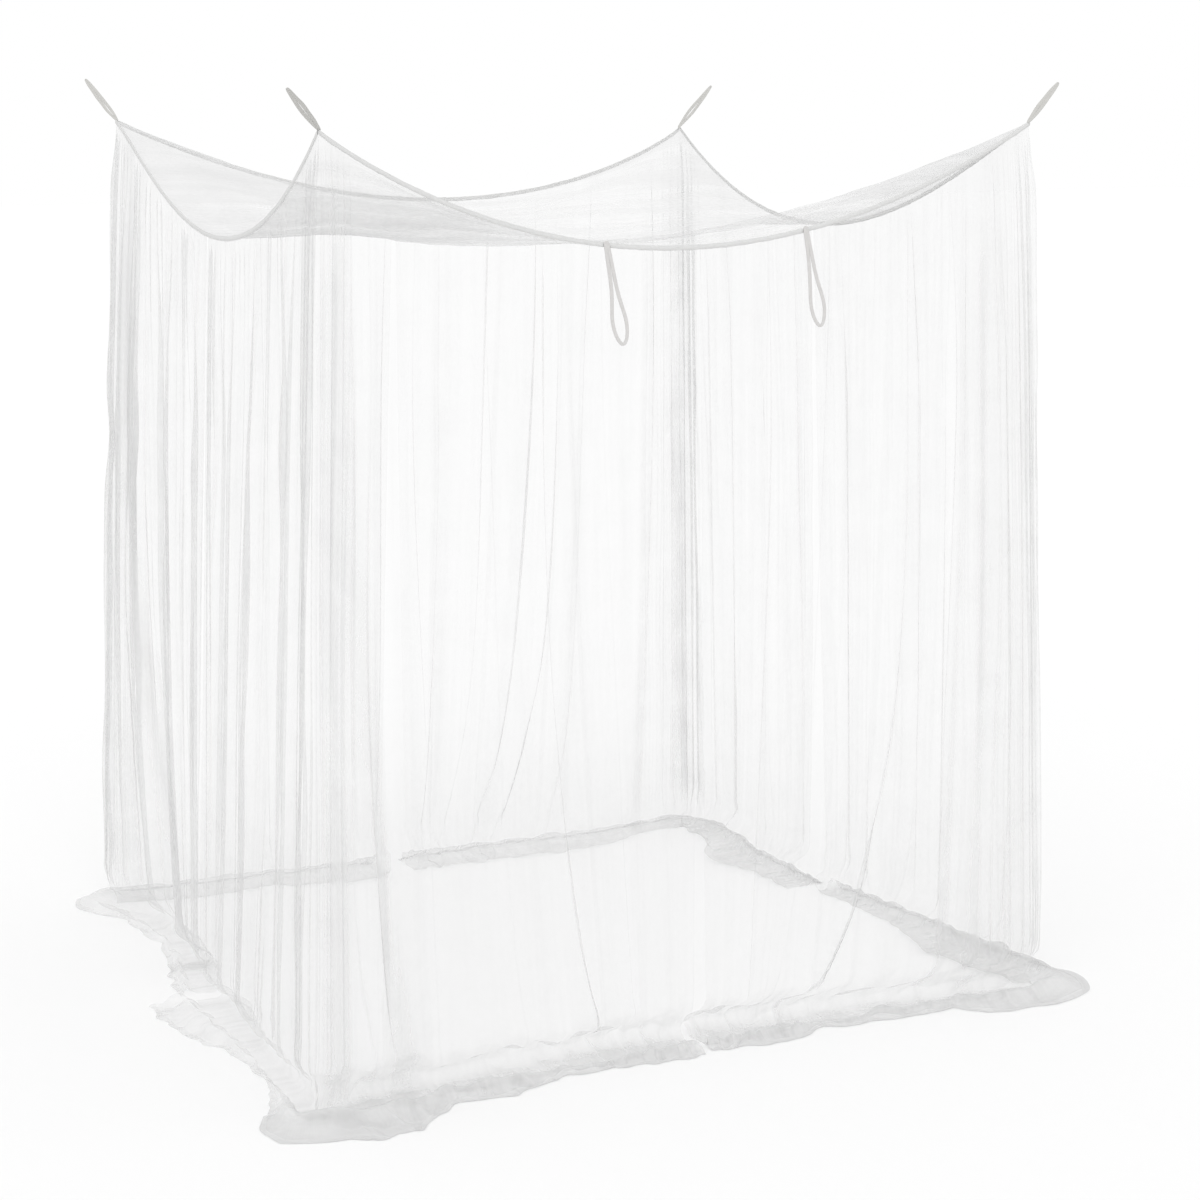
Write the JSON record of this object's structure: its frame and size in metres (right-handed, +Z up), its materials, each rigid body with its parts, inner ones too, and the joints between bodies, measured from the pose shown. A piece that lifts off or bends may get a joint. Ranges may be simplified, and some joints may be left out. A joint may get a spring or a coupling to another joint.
{
  "type": "mosquito net canopy",
  "caption": "Box-shaped mosquito net for a double bed, hung by its corner loops, with a sagging roof, parted sides and hems lying on the floor.",
  "frame": {"origin": "on the floor, under the middle of the whole net", "axes": "+Z up, the front with the two tie-back loops towards -Y, its right-hand end towards +X"},
  "size_m": [2.3508, 2.1804, 2.3983],
  "materials": {
    "net": "fine sheer polyester net, white",
    "tape": "narrow woven binding tape, white",
    "loop": "soft woven tape, off-white"
  },
  "bodies": {
    "root": {"roof_panel": "net", "curtain_front_left": "net", "curtain_front_right": "net", "curtain_back_right": "net", "curtain_back_left": "net", "edge_tape_front": "tape", "edge_tape_right": "tape", "edge_tape_back": "tape", "edge_tape_left": "tape", "corner_loop_front_left": "loop", "corner_loop_front_right": "loop", "corner_loop_back_right": "loop", "corner_loop_back_left": "loop", "tie_back_left": "loop", "tie_back_right": "loop"}
  },
  "joints": []
}
